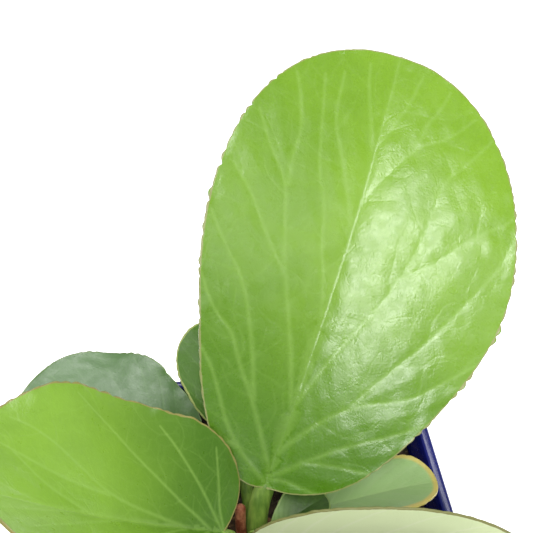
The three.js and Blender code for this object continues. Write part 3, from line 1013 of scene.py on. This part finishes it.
@dataclass
class Pot:
    """The square pot with its rolled rim and drain holes."""

    finish: PotFinish = PotFinish()
    floor: float = 2.0

    def profile(self) -> Array:
        """Half width, height and corner extra from the outer foot over the rim to the floor."""
        corners = [(29.6, 0.0, -1.2), (30.2, 0.05, -0.8), (30.7, 0.3, -0.3), (31.0, 0.8, 0.0)]
        for z in np.linspace(4, 86.5, 20):
            corners.append((pot_inside(z) + 1.3, z, 1.3 * z / 88))
        corners += [(pot_inside(88) + 1.3, 87.6, 1.3), (pot_inside(88) + 1.5, 87.95, 1.4)]
        corners += [(44.5, 88.0, 2.0), (44.85, 88.15, 2.3), (45.0, 88.5, 2.4)]
        corners += [(45.0, z, 2.4) for z in np.linspace(90.5, 97.3, 5)]
        corners += [(44.98, 98.0, 2.4), (44.7, 98.35, 2.3), (44.7, 98.6, 2.3), (44.98, 98.9, 2.4)]
        for step in np.linspace(0.1, 1, 7):
            bow = step * math.pi / 2
            half, height = 44.1 + 0.9 * math.cos(bow), 99.1 + 0.9 * math.sin(bow)
            corners.append((half, height, 2.4 - 0.7 * step))
        corners += [(43.4, 100.0, 0.9), (42.95, 99.95, 0.5), (42.6, 99.75, 0.2), (42.42, 99.4, 0.0)]
        for z in np.linspace(97, 4, 16):
            corners.append((pot_inside(z), z, -1.3 * (1 - z / POT_HEIGHT)))
        corners += [(29.75, 2.4, -1.3), (29.5, 2.1, -1.4), (29.1, self.floor, -1.6)]
        return np.array(corners)

    def build(self) -> Object:
        """Models the pot, bores its drain holes and dresses it."""
        profile = self.profile()
        rings = square_ring(profile[:, 0], pot_corner(profile[:, 1]) + profile[:, 2])
        heights = np.repeat(profile[:, None, 1:2], rings.shape[1], axis=1)
        obj = GridSheet.add("pot_fine", np.concatenate([rings, heights], -1)).obj
        select_only(obj)
        bpy.ops.object.mode_set(mode="EDIT")
        bpy.ops.mesh.select_all(action="SELECT")
        bpy.ops.mesh.remove_doubles(threshold=WELD)
        bpy.ops.mesh.select_all(action="DESELECT")
        bpy.ops.mesh.select_mode(type="EDGE")
        bpy.ops.mesh.select_non_manifold(extend=False)
        bpy.ops.mesh.edge_face_add()
        bpy.ops.mesh.select_all(action="SELECT")
        bpy.ops.mesh.normals_make_consistent(inside=False)
        bpy.ops.mesh.select_mode(type="VERT")
        bpy.ops.object.mode_set(mode="OBJECT")
        for x in (-HOLE_REACH, HOLE_REACH):
            for y in (-HOLE_REACH, HOLE_REACH):
                self.bore(obj, x, y)
        select_only(obj)
        bpy.ops.object.shade_smooth_by_angle(angle=math.radians(32))
        obj.data.materials.append(self.finish.material())
        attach(obj, "root")
        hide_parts("pot")
        return obj

    @staticmethod
    def bore(obj: Object, x: float, y: float) -> None:
        """Cuts one drain hole through the floor."""
        bpy.ops.object.select_all(action="DESELECT")
        bpy.ops.mesh.primitive_cylinder_add(
            vertices=40, radius=4 * MM, depth=6 * MM, location=(x * MM, y * MM, MM)
        )
        drill = bpy.context.object
        select_only(obj)
        cut = obj.modifiers.new("drain", "BOOLEAN")
        cut.operation = "DIFFERENCE"
        cut.object = drill
        bpy.ops.object.modifier_apply(modifier=cut.name)
        bpy.data.objects.remove(drill)


@dataclass(frozen=True)
class EarthFinish:
    """Crumbly or fibrous brown matter."""

    name: str
    light: int
    dark: int
    grain: float = 1.0
    depth: float = 0.0006
    roughness: float = 0.9

    def material(self) -> Material:
        """The finish in two browns with a deep crumb."""
        made, graph = new_material(self.name)
        place = graph.place("Object")
        crumb = graph.effect(SharedEffects.crumbs(), Vector=place, Scale=self.grain)
        tone = graph.mix(crumb["Mask"], colour(self.dark), colour(self.light))
        specks = graph.span(graph.noise(place, 700.0 * self.grain, 2.0), 0.66, 0.74)
        inputs = {
            "Base Color": graph.mix(graph.scaled(specks, 0.5), tone, colour(0x9A8468)),
            "Roughness": graph.span(crumb["Mask"], 0.0, 1.0, self.roughness, self.roughness - 0.2),
            "Normal": graph.bump(crumb["Height"], self.depth, 0.9),
            "Specular IOR Level": 0.25,
        }
        graph.surface(graph.node("BsdfPrincipled", inputs))
        return made


@dataclass
class Soil:
    """The potting mix with a crumbly top and loose bits."""

    finish: EarthFinish = EarthFinish("soil_mix", 0x43342A, 0x16110D)
    bits: int = 150
    spread: float = 38.0

    @staticmethod
    def lump(x: Array, y: Array) -> Array:
        """Height of the CAD soil over its middle level."""
        first = np.sin(0.31 * x + 1.3) * np.cos(0.27 * y - 0.6)
        second = 0.5 * np.sin(0.73 * x - 0.52 * y + 2.1)
        return 1.1 * (first + second + 0.4 * np.cos(0.41 * y + 0.66 * x)) / 1.5

    def top(self, x: Array, y: Array) -> Array:
        """Height of the fine soil in millimetres."""
        flat = np.stack([x, y], -1)
        fine = 0.45 * ripple(flat, 91, 26, 2.2) + 0.3 * ripple(flat, 17, 30, 1.0)
        dip = 0.8 * np.exp(-(((np.hypot(x, y) - 10.6) / 1.6) ** 2))
        return SOIL_LEVEL + self.lump(x, y) + fine - dip

    @staticmethod
    def ring(z: float) -> Array:
        """The soil's outline at a height, just clear of the pot."""
        return square_ring(pot_inside(z) - SOIL_GAP, pot_corner(z) - SOIL_GAP, 16, 30)[0]

    def build(self) -> Object:
        """Models the soil as a closed block with a fine top and strews bits on it."""
        levels = [2.35, 20.0, 40.0, 60.0, 78.0, 88.0]
        rim = self.ring(SOIL_LEVEL)
        flat = [np.zeros_like(rim), *map(self.ring, levels)]
        tall = [np.full(len(rim), z) for z in levels[:1] + levels]
        for share in np.linspace(1, 0, 76):
            flat.append(rim * share)
            tall.append(self.top(*flat[-1].T))
        points = np.concatenate([np.array(flat), np.array(tall)[..., None]], -1)
        obj = GridSheet.add("soil_block", points).close()
        obj.data.materials.append(self.finish.material())
        piece = join([obj, *self.strewn()], "soil_fine")
        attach(piece, "root")
        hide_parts("soil")
        return piece

    def strewn(self) -> list[Object]:
        """Copies of one modelled chip, each with its own mesh, laid on the soil."""
        rng = np.random.default_rng(SEED)
        bpy.ops.object.select_all(action="DESELECT")
        bpy.ops.mesh.primitive_ico_sphere_add(subdivisions=2, radius=MM)
        chip = bpy.context.object
        chip.data.materials.append(bpy.data.materials[self.finish.name])
        base = np.zeros(len(chip.data.vertices) * 3)
        chip.data.vertices.foreach_get("co", base)
        base = base.reshape(-1, 3)
        base = base * (1 + 0.3 * ripple(base / MM, 5, 8, 1.2)[:, None])
        made = [chip]
        for _ in range(self.bits - 1):
            copy = chip.copy()
            copy.data = chip.data.copy()
            bpy.context.scene.collection.objects.link(copy)
            made.append(copy)
        for piece in made:
            x, y = rng.uniform(-self.spread, self.spread, 2)
            while math.hypot(x, y) < CROWN_CLEAR:
                x, y = rng.uniform(-self.spread, self.spread, 2)
            size = rng.uniform(0.45, 1.25) * np.array([1.6, 0.9, 0.5])
            a, tilt = rng.uniform(0, 2 * math.pi), rng.uniform(-0.5, 0.5)
            cos, sin = math.cos(a), math.sin(a)
            spin = np.array([[cos, -sin, 0], [sin, cos, 0], [0, 0, 1]])
            cos, sin = math.cos(tilt), math.sin(tilt)
            lean = np.array([[1, 0, 0], [0, cos, -sin], [0, sin, cos]])
            height = float(self.top(np.array([x]), np.array([y]))[0])
            places = (base * size) @ lean.T @ spin.T + np.array([x, y, height + 0.2]) * MM
            piece.data.vertices.foreach_set("co", places.reshape(-1))
            piece.data.update()
        return made


@dataclass
class Rhizome:
    """The scaly rootstock that the leaves rise from."""

    finish: EarthFinish = EarthFinish("rhizome_bark", 0x7A5A38, 0x33210F, 1.3, 0.0005, 0.8)

    def build(self) -> Object:
        """Models the rootstock with ringed scars and ragged scales."""
        foot, shoulder, cap, pitch = 66.4, 91.2, 3.2, 2.6
        bow = np.linspace(0.02, math.pi / 2, 26)
        z = np.concatenate([np.linspace(foot, shoulder, 90), shoulder + cap * np.sin(bow)])
        angle = np.linspace(0, 2 * math.pi, 121)
        dome = np.sqrt(np.clip(1 - (np.clip(z - shoulder, 0, cap) / cap) ** 2, 0, 1))
        rise = z[:, None]
        phase = (rise / pitch + 0.35 * np.sin(3 * angle + rise * 0.4)) % 1.0
        ragged = np.abs(np.sin(8 * angle + np.floor(rise / pitch) * 1.7))
        scales = 0.55 * phase**2 + 0.25 * ragged * phase
        rough = 0.14 * ripple(around(9, angle, rise), 44, 20, 1.4)
        rough[:, -1] = rough[:, 0]
        body = around((8.6 + scales + rough) * dome[:, None], angle, rise)
        body[:, -1] = body[:, 0]
        ends = [np.zeros((1, len(angle), 3)) + [0, 0, end] for end in (foot, shoulder + cap)]
        points = np.concatenate([ends[0], body, ends[1]])
        obj = GridSheet.add("rhizome_fine", points).close()
        obj.data.materials.append(self.finish.material())
        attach(obj, "root")
        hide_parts("rhizome")
        return obj


@dataclass
class OldStalk:
    """The dry stub of an old leaf stalk."""

    finish: EarthFinish = EarthFinish("old_stalk_skin", 0xB87858, 0x6E3420, 1.6, 0.0002, 0.6)

    def build(self) -> Object:
        """Models the stub with a worn, rounded end."""
        foot, top, worn = np.array([-1.5, -2.1, STALK_FOOT]), np.array([-1.9, 0.2, 107.4]), 0.93
        bow = np.linspace(0.05, 1.55, 12)
        t = np.concatenate([np.linspace(0, worn, 40), worn + 0.07 * np.sin(bow)])
        path = foot + (top - foot) * t[:, None]
        path[:, 0] += 0.12 * np.sin(t * 7)
        end = np.sqrt(np.clip(1 - (np.clip(t - worn, 0, 1) / 0.0705) ** 2, 0.0004, 1))
        obj = GridSheet.add("old_stalk_fine", tube_points(path, 1.13 * end, 32, 9, 0.035)).close()
        obj.data.materials.append(self.finish.material())
        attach(obj, "root")
        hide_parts("old_stalk")
        return obj


# Studio


def direction(azimuth: float, elevation: float) -> Vector:
    """The way from the plant to an azimuth and elevation in degrees."""
    a, e = math.radians(azimuth), math.radians(elevation)
    return Vector((math.sin(a) * math.cos(e), -math.cos(a) * math.cos(e), math.sin(e)))


def hang(name: str, data: Any, location: Any, turned: Quaternion) -> Object:
    """Puts a light or a camera in the scene."""
    holder = bpy.data.objects.new(name, data)
    bpy.context.scene.collection.objects.link(holder)
    holder.location = location
    holder.rotation_mode = "QUATERNION"
    holder.rotation_quaternion = turned
    return holder


@dataclass(frozen=True)
class Softbox:
    """A soft light seen from the plant at an azimuth and elevation."""

    name: str
    azimuth: float
    elevation: float
    distance: float
    width: float
    height: float
    radiance: float
    roll: float = 0.0

    def add(self, aim: Vector) -> None:
        """Places the light so that it faces the aim."""
        back = direction(self.azimuth, self.elevation)
        lamp = bpy.data.lights.new(self.name, "AREA")
        lamp.shape = "RECTANGLE"
        lamp.size, lamp.size_y = self.width, self.height
        lamp.energy = self.radiance * math.pi * self.width * self.height
        spin = Quaternion((0.0, 0.0, 1.0), math.radians(self.roll))
        hang(self.name, lamp, aim + back * self.distance, back.to_track_quat("Z", "Y") @ spin)


@dataclass
class Studio:
    """Pale floor, soft lights and the camera."""

    softboxes: tuple[Softbox, ...] = (
        Softbox("key_light", -10.0, 54.5, 0.95, 0.18, 0.6, 15.5, -30.0),
        Softbox("side_light", 31.0, 40.0, 1.1, 0.24, 0.4, 2.8),
        Softbox("back_light", 160.0, 58.0, 1.1, 0.7, 0.36, 7.0),
        Softbox("low_light", 115.0, 12.0, 1.0, 0.12, 0.12, 8.0),
    )
    world_strength: float = 0.35
    azimuth: float = -6.54
    elevation: float = 40.0
    focal_length: float = 67.54
    camera_place: tuple[float, float, float] = (-0.0111, -0.1292, 0.2820)

    def build(self) -> None:
        """Adds the floor, the world, the lights and the camera."""
        self.add_floor()
        self.add_world()
        for box in self.softboxes:
            box.add(Vector((0.0, 0.01, 0.12)))
        self.add_camera()
        bpy.context.scene.view_settings.view_transform = "Standard"

    def add_floor(self) -> None:
        """A wide plain floor just under the pot."""
        bpy.ops.object.select_all(action="DESELECT")
        bpy.ops.mesh.primitive_plane_add(size=12.0, location=(0.0, 0.0, -0.0004))
        floor = bpy.context.object
        floor.name = "floor"
        made, graph = new_material("floor_paper")
        grain = graph.noise(graph.place("Object"), 300.0, 3.0)
        tone = graph.mix(grain, colour(0xFAFAFA), colour(0xFFFFFF))
        inputs = {
            "Base Color": tone, "Roughness": 0.9, "Specular IOR Level": 0.1,
            "Emission Color": tone, "Emission Strength": 0.9,
        }
        graph.surface(graph.node("BsdfPrincipled", inputs))
        floor.data.materials.append(made)

    def add_world(self) -> None:
        """An even white surround."""
        world = bpy.data.worlds.new("studio_world")
        world.use_nodes = True
        world.node_tree.nodes.clear()
        graph = Graph(world.node_tree)
        inputs = {"Color": colour(0xFFFFFF), "Strength": self.world_strength}
        light = graph.node("Background", inputs)
        graph.node("OutputWorld", {"Surface": light.outputs[0]})
        bpy.context.scene.world = world

    def add_camera(self) -> None:
        """The camera at the photograph's angle."""
        lens = bpy.data.cameras.new("photo_camera")
        lens.sensor_width = 36.0
        lens.lens = self.focal_length
        lens.clip_start = 0.01
        turned = (-direction(self.azimuth, self.elevation)).to_track_quat("-Z", "Y")
        bpy.context.scene.camera = hang("photo_camera", lens, self.camera_place, turned)


# The plant

TALL_COURSES = (
    ((0, 2.5), (4.5, 7), (8.5, 11.1), (16.1, 16.5), (21.4, 20.4), (29, 26)),
    ((0, 7.5), (3.9, 15), (11.6, 23.3), (22, 27.8), (26.5, 32.1), (33, 39)),
    ((11.6, 23.3), (15.8, 30.8), (22.3, 40.8), (28.3, 52.4), (32.3, 60.8), (33, 64)),
    ((0.2, 19), (4.9, 33.3), (9.8, 42.7), (12, 48.6), (13.9, 56.3), (14.8, 63.6), (15.3, 68.8),
     (16, 72.8), (19.4, 77.6), (23.6, 84.3)),
    ((12.7, 51.2), (18.2, 55.3), (22, 59.6), (25.2, 63.8), (30.5, 67.1), (31.5, 69)),
    ((0.4, 62), (1.9, 67.1), (5.3, 73.6), (7.2, 76.6), (9.4, 79.1), (14.2, 81.6), (19, 88)),
    ((8.2, 77.8), (8.8, 84), (10.7, 87.2), (12.5, 92.5)),
    ((0.2, 76), (2.6, 82), (4.6, 88), (6, 94.5)),
    ((5.6, 8.4), (13, 10.5), (20, 11), (26, 14)),
    ((0, 2), (3.5, 3), (10, 3.2), (17, 4.5)),
    ((0, 3.5), (-3.8, 9.4), (-8.8, 17.8), (-14, 24.4), (-17.3, 30), (-22.7, 33), (-29, 41)),
    ((0, 1), (-4, 3.6), (-8.8, 7.1), (-13.1, 12.2), (-16.4, 17.4), (-20.9, 23.3), (-27, 28)),
    ((-8.8, 7.1), (-14, 8), (-20, 10), (-25, 15)),
    ((0, 17), (-2.5, 23.5), (-5.3, 31.7), (-10.5, 44), (-14, 53.3), (-16.2, 62.5), (-20, 66.7),
     (-22.6, 69.4), (-26.5, 75.5)),
    ((-10.5, 44), (-17, 50), (-22, 57), (-28.5, 63)),
    ((-8.8, 17.8), (-13.5, 30), (-19.5, 41), (-25, 47), (-30, 52)),
    ((-16.2, 62.5), (-17.1, 69.1), (-17, 74.6), (-19.4, 82.9), (-21, 86)),
    ((0, 36), (-2.3, 43.8), (-5.2, 53), (-8.3, 61.7), (-10.8, 66.2), (-12.5, 76), (-15, 88)),
    ((0, 55), (-1.5, 60.5), (-4.3, 66.7), (-7, 73), (-10.2, 79), (-11, 90)),
    ((0, 73), (-2.2, 80), (-5, 88), (-6, 94)),
)
LEFT_COURSES = (
    ((0, 0.5), (5.7, 4.3), (12.8, 9.4), (20.8, 15.1)),
    ((0, 0), (4.7, 1.1), (9.4, 1.9), (16.1, 2.8)),
    ((0, 3.3), (5.7, 11.8), (13.2, 21.3), (18.9, 26.5), (24.1, 34)),
    ((0, 8.5), (2.3, 18.9), (4.7, 29.3), (10.6, 36.6), (15.1, 42.5), (18, 48.2)),
    ((4.7, 29.3), (6.4, 39.7), (9.9, 47.2), (13.2, 52.9)),
    ((0, 33.5), (2.8, 40.2), (5.3, 44.4), (10.4, 49.1)),
    ((0, 44.4), (1.9, 50.1), (3.8, 56.7)),
    ((0, 0.5), (-5.7, 4.7), (-13.2, 8.5), (-21.7, 13.2)),
    ((0, 3.8), (-5.2, 11.3), (-12.3, 18.9), (-18.9, 24.6), (-25.5, 30.2)),
    ((0, 9.4), (-3.3, 18.9), (-7.6, 29.3), (-14.2, 37.8), (-20.8, 46.3)),
    ((-7.6, 29.3), (-9, 37.8), (-12.3, 47.2), (-14.2, 53.9)),
    ((0, 25.5), (-2.4, 35.9), (-5.2, 44.4), (-8.5, 53.9)),
    ((0, 39.7), (-1.7, 47.2), (-3.8, 56.7)),
)


class Plant:
    """The leaves with their shapes and finishes."""

    @staticmethod
    def leaves() -> list[Leaf]:
        """Every leaf, the largest first."""
        tall = LeafShape(
            "leaf_tall", (1.6, 1.4), (3.44, 2.29, 110), 41.4, 54.3, 97.9, (31.2, 35.7),
            (0.72, 1.02), (4.9, -0.8), 24.5, (20.7, 5.2), (6, 4), (6, -6), 0.8,
            (2.5, 2.1), 0.42, 0.5, 0.42, 0.25, 18.3, (0, 0.14), -6.1, 9.5,
            source=VeinSource.TRACED, courses=TALL_COURSES, seed=1,
        )
        left = LeafShape(
            "leaf_left", (-6, -4.4), (-6.09, -9.37, 111.9), -112.3, 37.7, 60.3, (28.9, 26.1),
            (0.74, 0.98), (0, 6.6), -12.7, (12, 45.1), (5, 5), (6, 6), 2.25,
            (2.2, 1.8), 0.3, 0.42, 0.4, 0.25, 4.2, (0.2, -0.12), -2.5, 0, phase=0.63,
            source=VeinSource.TRACED, courses=LEFT_COURSES, seed=2,
        )
        back_left = LeafShape(
            "leaf_back_left", (-6.4, 4.2), (-14, 15.8, 105.6), -71, 18.4, 39, (19, 22.5),
            (0.7, 0.88), (2, 5), 12, (8, 10), (5, 5), (6, 4), 1, (2, 1.6),
            0.24, 0.36, 0.4, 0.5, 5.7, (0, -0.1), waves=1.6, phase=3.5, seed=3,
        )
        small_back = LeafShape(
            "leaf_small_back", (1, 8), (0.25, 19.25, 108.2), 7.7, 48.5, 27, (15.4, 15.4),
            (0.72, 0.75), (1.5, 1.5), 15, (16, 16), (5, 5), (8, 8), 0.5, (1.6, 1.3),
            0.22, 0.25, 0.38, 0.5, -7.9, seed=4,
        )
        low_right = LeafShape(
            "leaf_low_right", (8, 1.8), (14, 2, 100.2), 89.2, 16.6, 28, (9.8, 8.8),
            (0.61, 0.72), (1, 1), 8, (12, 14), (5, 5), (5, 8), 0.4, (1.6, 1.3),
            0.22, 0.25, 0.34, 0.5, -11.4, seed=5,
        )
        young = LeafShape(
            "leaf_young_right", (5, -3.2), (5.2, -3.4, 101.5), 66, 24, 13.5, (5.6, 5.6),
            (0.75, 0.75), (0.5, 0.5), 15, (38, 38), (10, 10), (5, 5), 0.2,
            (1.2, 0.9), 0.12, 0.12, 0.22, waves=1, seed=6,
        )
        front = LeafShape(
            "leaf_front", (-0.6, -7.6), (0.8, -7.3, 100), 98, 4.1, 56, (11, 18.85),
            (1, 1.13), (0.5, 2.2), 5, (80, 84.4), (80, 80), (3, 3), 0.4, (2, 1.6),
            0.22, 0.3, 0.38, seed=7,
        )
        greens = (0xC6D99A, 0xD9E4BC, 0x93B24E, 0x5F8230)
        # Underside greens of the front leaf: its own pale underside, made lighter still as painted
        # light on its steep face
        pale = (0xE0EDBA, 0xEAF2CE, 0x93B24E, 0x5F8230)
        return [
            Leaf(tall, LeafFinish(
                0x91C12C, 0x4F8416, 0xABD66A, 0xA8AE6C, *greens, 0.11, 0.23, 0.82, 0.25, 0.8, 0.8,
                0.3
            ), "leaf_tall", True),
            Leaf(left, LeafFinish(
                0x94C240, 0x3F7010, 0xA9D267, 0xA09A55, *greens, 0.14, 0.27, 0.85, 0, 0.8, 0.6,
                0.34
            ), "leaf_left"),
            Leaf(back_left, LeafFinish(
                0x55803E, 0x34591F, 0x7FA462, 0x66863F, *greens, 0.14, 0.34, net=0.3, gloss=1,
                vein_share=0.14
            ), "leaf_back_left"),
            Leaf(small_back, LeafFinish(
                0x4F7C14, 0x345A10, 0x6F9840, 0xA8B468, *greens, 0.16, gloss=0.5, vein_share=0.25
            ), "leaf_small_back"),
            Leaf(low_right, LeafFinish(
                0xA4C880, 0x78A058, 0xAEC88A, 0xD9C768, *greens, 1, 0.3, net=0.5, gloss=0.9,
                vein_share=0.3
            ), "leaf_low_right"),
            # Painted shadow: the young leaf's body is dark green for the tall leaf's shade over it,
            # and its base is mixed to a pale green as painted light where it is lit
            Leaf(young, LeafFinish(
                0x2F5212, 0x8FB35C, 0x4E7428, 0x8FA860, *greens, 0.14, base_painted_shading=1, net=0.5,
                gloss=0.5, vein_share=0.3
            ), "leaf_young_right"),
            Leaf(front, LeafFinish(
                0x93B860, 0x74A040, 0xC4DC98, 0x8E8E50, *pale, 0.1, 0.5, net=0.2
            ), "leaf_front"),
        ]


def report(piece: Object) -> None:
    """Logs a piece's name and triangle count."""
    count = sum(len(face.vertices) - 2 for face in piece.data.polygons)
    LOG.info("%s: %d triangles", piece.name, count)


def write_size() -> None:
    """Updates the view layer."""
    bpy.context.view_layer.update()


def main() -> None:
    """Builds the pieces in order, then the studio."""
    logging.basicConfig(level=logging.INFO, format="%(name)s %(message)s")
    for maker in (Pot(), Soil(), Rhizome(), OldStalk(), *Plant.leaves()):
        report(maker.build())
    Studio().build()
    write_size()


if __name__ == "__main__":
    main()
